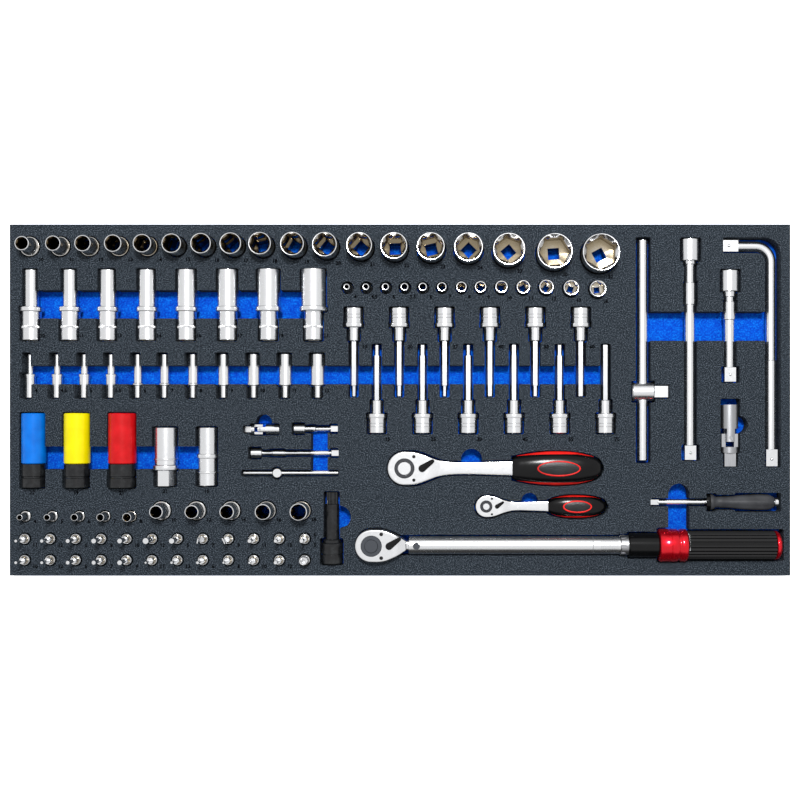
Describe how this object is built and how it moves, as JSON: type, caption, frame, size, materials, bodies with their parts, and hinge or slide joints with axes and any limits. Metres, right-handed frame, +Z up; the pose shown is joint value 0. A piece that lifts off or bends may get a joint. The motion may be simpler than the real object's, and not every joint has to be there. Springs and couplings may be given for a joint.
{
  "type": "socket wrench set in foam inlay",
  "caption": "Two-layer foam inlay holding sockets, bit sockets, ratchets, a click torque wrench, extensions, joints and handles, each in its own pocket.",
  "frame": {"origin": "centre of the underside of the foam inlay", "axes": "+X along the inlay towards the long bars, +Y across it towards the row of upright sockets, +Z up out of the pockets"},
  "size_m": [0.882, 0.397, 0.0528],
  "materials": {
    "foam_black": "matte",
    "foam_blue": "matte",
    "chrome_steel": "polished",
    "bare_steel": "satin",
    "black_steel": "satin",
    "black_plastic": "satin",
    "black_rubber": "matte",
    "red_plastic": "gloss",
    "red_rubber": "satin",
    "red_metal": "gloss",
    "blue_sleeve": "gloss",
    "yellow_sleeve": "gloss",
    "red_sleeve": "gloss",
    "grey_plastic": "matte"
  },
  "bodies": {
    "tray": {"foam_top": "foam_black", "foam_base": "foam_blue"},
    "socket_row": {"half_sockets": "chrome_steel"},
    "deep_socket_row": {"half_deep_sockets": "chrome_steel"},
    "small_socket_row": {"quarter_sockets": "chrome_steel"},
    "small_deep_socket_row": {"quarter_deep_sockets": "chrome_steel"},
    "long_bit_sockets": {"bit_socket_holders": "chrome_steel", "bit_socket_blades": "bare_steel"},
    "impact_set": {"impact_sockets": "black_steel"},
    "blue_sleeve": {"sleeve_blue": "blue_sleeve"},
    "yellow_sleeve": {"sleeve_yellow": "yellow_sleeve"},
    "red_sleeve": {"sleeve_red": "red_sleeve"},
    "plug_set": {"plug_sockets": "chrome_steel"},
    "star_set": {"quarter_star_sockets": "chrome_steel", "half_star_sockets": "chrome_steel"},
    "short_bit_sockets": {"short_bit_holders": "chrome_steel", "short_bit_blades": "bare_steel", "bit_adapter": "chrome_steel"},
    "spline_tool": {"spline_bit": "black_steel"},
    "half_ratchet": {"half_ratchet_body": "chrome_steel", "half_ratchet_screws": "bare_steel", "half_ratchet_grip": "black_rubber", "half_ratchet_inlays": "red_rubber"},
    "half_square": {"half_ratchet_drive": "bare_steel"},
    "half_button": {"half_ratchet_button": "chrome_steel"},
    "half_lever": {"half_ratchet_lever": "black_plastic"},
    "quarter_ratchet": {"quarter_ratchet_body": "chrome_steel", "quarter_ratchet_screws": "bare_steel", "quarter_ratchet_grip": "black_rubber", "quarter_ratchet_inlays": "red_rubber"},
    "quarter_square": {"quarter_ratchet_drive": "bare_steel"},
    "quarter_button": {"quarter_ratchet_button": "chrome_steel"},
    "quarter_lever": {"quarter_ratchet_lever": "black_plastic"},
    "torque_wrench": {"torque_head": "chrome_steel", "torque_fasteners": "bare_steel", "torque_tube": "chrome_steel", "torque_scale": "chrome_steel"},
    "wrench_square": {"torque_drive": "bare_steel"},
    "wrench_button": {"torque_button": "black_steel"},
    "wrench_lever": {"torque_lever": "black_plastic"},
    "wrench_handle": {"torque_index_ring": "bare_steel", "torque_sleeve": "black_plastic", "torque_ring": "red_metal", "torque_grip": "black_rubber"},
    "wrench_cap": {"torque_cap": "red_plastic"},
    "spinner": {"spinner_shaft": "chrome_steel", "spinner_grip": "grey_plastic"},
    "sliding_t_bar": {"half_t_bar": "chrome_steel"},
    "sliding_t_head": {"half_t_head": "chrome_steel"},
    "extension_bars": {"half_extensions": "chrome_steel"},
    "bent_handle": {"l_handle": "chrome_steel"},
    "half_joint": {"half_uj_male": "chrome_steel"},
    "half_joint_cross": {"half_uj_cross": "bare_steel"},
    "half_joint_socket": {"half_uj_female": "chrome_steel"},
    "small_joint": {"quarter_uj_male": "chrome_steel"},
    "small_joint_cross": {"quarter_uj_cross": "bare_steel"},
    "small_joint_socket": {"quarter_uj_female": "chrome_steel"},
    "small_t_bar": {"quarter_t_bar": "chrome_steel"},
    "small_t_head": {"quarter_t_head": "chrome_steel"},
    "small_extension_bars": {"quarter_extensions": "chrome_steel"}
  },
  "joints": [
    {"name": "half_ratchet_spin", "type": "hinge", "parent": "half_ratchet", "child": "half_square", "pos_m": [0.0052, -0.0772, 0.0258], "axis": [0, 0, 1], "continuous": true},
    {"name": "half_ratchet_release", "type": "slide", "parent": "half_square", "child": "half_button", "axis": [0, 0, -1], "range_m": [0, 0.002], "stiffness_N_per_m": 900, "springref_m": -0.002},
    {"name": "half_ratchet_reverse", "type": "hinge", "parent": "half_ratchet", "child": "half_lever", "pos_m": [0.0252, -0.0772, 0.0338], "axis": [0, 0, 1], "range_deg": [-70, 0]},
    {"name": "quarter_ratchet_spin", "type": "hinge", "parent": "quarter_ratchet", "child": "quarter_square", "pos_m": [0.0975, -0.1206, 0.0218], "axis": [0, 0, 1], "continuous": true},
    {"name": "quarter_ratchet_release", "type": "slide", "parent": "quarter_square", "child": "quarter_button", "axis": [0, 0, -1], "range_m": [0, 0.002], "stiffness_N_per_m": 600, "springref_m": -0.002},
    {"name": "quarter_ratchet_reverse", "type": "hinge", "parent": "quarter_ratchet", "child": "quarter_lever", "pos_m": [0.1097, -0.1206, 0.0278], "axis": [0, 0, 1], "range_deg": [-70, 0]},
    {"name": "wrench_spin", "type": "hinge", "parent": "torque_wrench", "child": "wrench_square", "pos_m": [-0.0314, -0.1639, 0.0307], "axis": [0, 0, 1], "continuous": true},
    {"name": "wrench_release", "type": "slide", "parent": "wrench_square", "child": "wrench_button", "axis": [0, 0, -1], "range_m": [0, 0.002], "stiffness_N_per_m": 900, "springref_m": -0.002},
    {"name": "wrench_reverse", "type": "hinge", "parent": "torque_wrench", "child": "wrench_lever", "pos_m": [-0.0113, -0.1639, 0.0417], "axis": [0, 0, 1], "range_deg": [-70, 0]},
    {"name": "torque_adjust", "type": "hinge", "parent": "torque_wrench", "child": "wrench_handle", "pos_m": [0.38, -0.1639, 0.0307], "axis": [1, 0, 0], "continuous": true},
    {"name": "torque_lock", "type": "slide", "parent": "wrench_handle", "child": "wrench_cap", "axis": [1, 0, 0], "range_m": [0, 0.003]},
    {"name": "blue_sleeve_spin", "type": "hinge", "parent": "impact_set", "child": "blue_sleeve", "pos_m": [-0.4155, -0.06, 0.02555], "axis": [0, 1, 0], "continuous": true},
    {"name": "yellow_sleeve_spin", "type": "hinge", "parent": "impact_set", "child": "yellow_sleeve", "pos_m": [-0.366, -0.06, 0.02655], "axis": [0, 1, 0], "continuous": true},
    {"name": "red_sleeve_spin", "type": "hinge", "parent": "impact_set", "child": "red_sleeve", "pos_m": [-0.3145, -0.06, 0.02755], "axis": [0, 1, 0], "continuous": true},
    {"name": "t_head_slide", "type": "slide", "parent": "sliding_t_bar", "child": "sliding_t_head", "axis": [0, 1, 0], "range_m": [-0.001, 0.001]},
    {"name": "small_t_head_slide", "type": "slide", "parent": "small_t_bar", "child": "small_t_head", "axis": [1, 0, 0], "range_m": [-0.001, 0.001]},
    {"name": "half_joint_fold", "type": "hinge", "parent": "half_joint", "child": "half_joint_cross", "pos_m": [0.3735, -0.0427, 0.0225], "axis": [1, 0, 0], "range_deg": [0, 35]},
    {"name": "half_joint_swing", "type": "hinge", "parent": "half_joint_cross", "child": "half_joint_socket", "pos_m": [0.3735, -0.0427, 0.0225], "axis": [0, 0, 1], "range_deg": [-1, 1]},
    {"name": "small_joint_fold", "type": "hinge", "parent": "small_joint", "child": "small_joint_cross", "pos_m": [-0.1596, -0.0332, 0.0184], "axis": [0, -1, 0], "range_deg": [0, 35]},
    {"name": "small_joint_swing", "type": "hinge", "parent": "small_joint_cross", "child": "small_joint_socket", "pos_m": [-0.1596, -0.0332, 0.0184], "axis": [0, 0, 1], "range_deg": [-1, 1]},
    {"name": "lift_half_ratchet", "type": "slide", "parent": "tray", "child": "half_ratchet", "axis": [0, 0, 1], "range_m": [0, 0.06]},
    {"name": "lift_quarter_ratchet", "type": "slide", "parent": "tray", "child": "quarter_ratchet", "axis": [0, 0, 1], "range_m": [0, 0.06]},
    {"name": "lift_torque_wrench", "type": "slide", "parent": "tray", "child": "torque_wrench", "axis": [0, 0, 1], "range_m": [0, 0.06]},
    {"name": "lift_spinner", "type": "slide", "parent": "tray", "child": "spinner", "axis": [0, 0, 1], "range_m": [0, 0.06]},
    {"name": "lift_t_bar", "type": "slide", "parent": "tray", "child": "sliding_t_bar", "axis": [0, 0, 1], "range_m": [0, 0.06]},
    {"name": "lift_extension_bars", "type": "slide", "parent": "tray", "child": "extension_bars", "axis": [0, 0, 1], "range_m": [0, 0.06]},
    {"name": "lift_bent_handle", "type": "slide", "parent": "tray", "child": "bent_handle", "axis": [0, 0, 1], "range_m": [0, 0.06]},
    {"name": "lift_half_joint", "type": "slide", "parent": "tray", "child": "half_joint", "axis": [0, 0, 1], "range_m": [0, 0.06]},
    {"name": "lift_small_joint", "type": "slide", "parent": "tray", "child": "small_joint", "axis": [0, 0, 1], "range_m": [0, 0.06]},
    {"name": "lift_small_t_bar", "type": "slide", "parent": "tray", "child": "small_t_bar", "axis": [0, 0, 1], "range_m": [0, 0.06]},
    {"name": "lift_small_extension_bars", "type": "slide", "parent": "tray", "child": "small_extension_bars", "axis": [0, 0, 1], "range_m": [0, 0.06]},
    {"name": "lift_sockets", "type": "slide", "parent": "tray", "child": "socket_row", "axis": [0, 0, 1], "range_m": [0, 0.06]},
    {"name": "lift_deep_sockets", "type": "slide", "parent": "tray", "child": "deep_socket_row", "axis": [0, 0, 1], "range_m": [0, 0.06]},
    {"name": "lift_small_sockets", "type": "slide", "parent": "tray", "child": "small_socket_row", "axis": [0, 0, 1], "range_m": [0, 0.06]},
    {"name": "lift_small_deep_sockets", "type": "slide", "parent": "tray", "child": "small_deep_socket_row", "axis": [0, 0, 1], "range_m": [0, 0.06]},
    {"name": "lift_long_bit_sockets", "type": "slide", "parent": "tray", "child": "long_bit_sockets", "axis": [0, 0, 1], "range_m": [0, 0.06]},
    {"name": "lift_impact_sockets", "type": "slide", "parent": "tray", "child": "impact_set", "axis": [0, 0, 1], "range_m": [0, 0.06]},
    {"name": "lift_plug_sockets", "type": "slide", "parent": "tray", "child": "plug_set", "axis": [0, 0, 1], "range_m": [0, 0.06]},
    {"name": "lift_star_sockets", "type": "slide", "parent": "tray", "child": "star_set", "axis": [0, 0, 1], "range_m": [0, 0.06]},
    {"name": "lift_short_bit_sockets", "type": "slide", "parent": "tray", "child": "short_bit_sockets", "axis": [0, 0, 1], "range_m": [0, 0.06]},
    {"name": "lift_spline_bit", "type": "slide", "parent": "tray", "child": "spline_tool", "axis": [0, 0, 1], "range_m": [0, 0.06]}
  ]
}
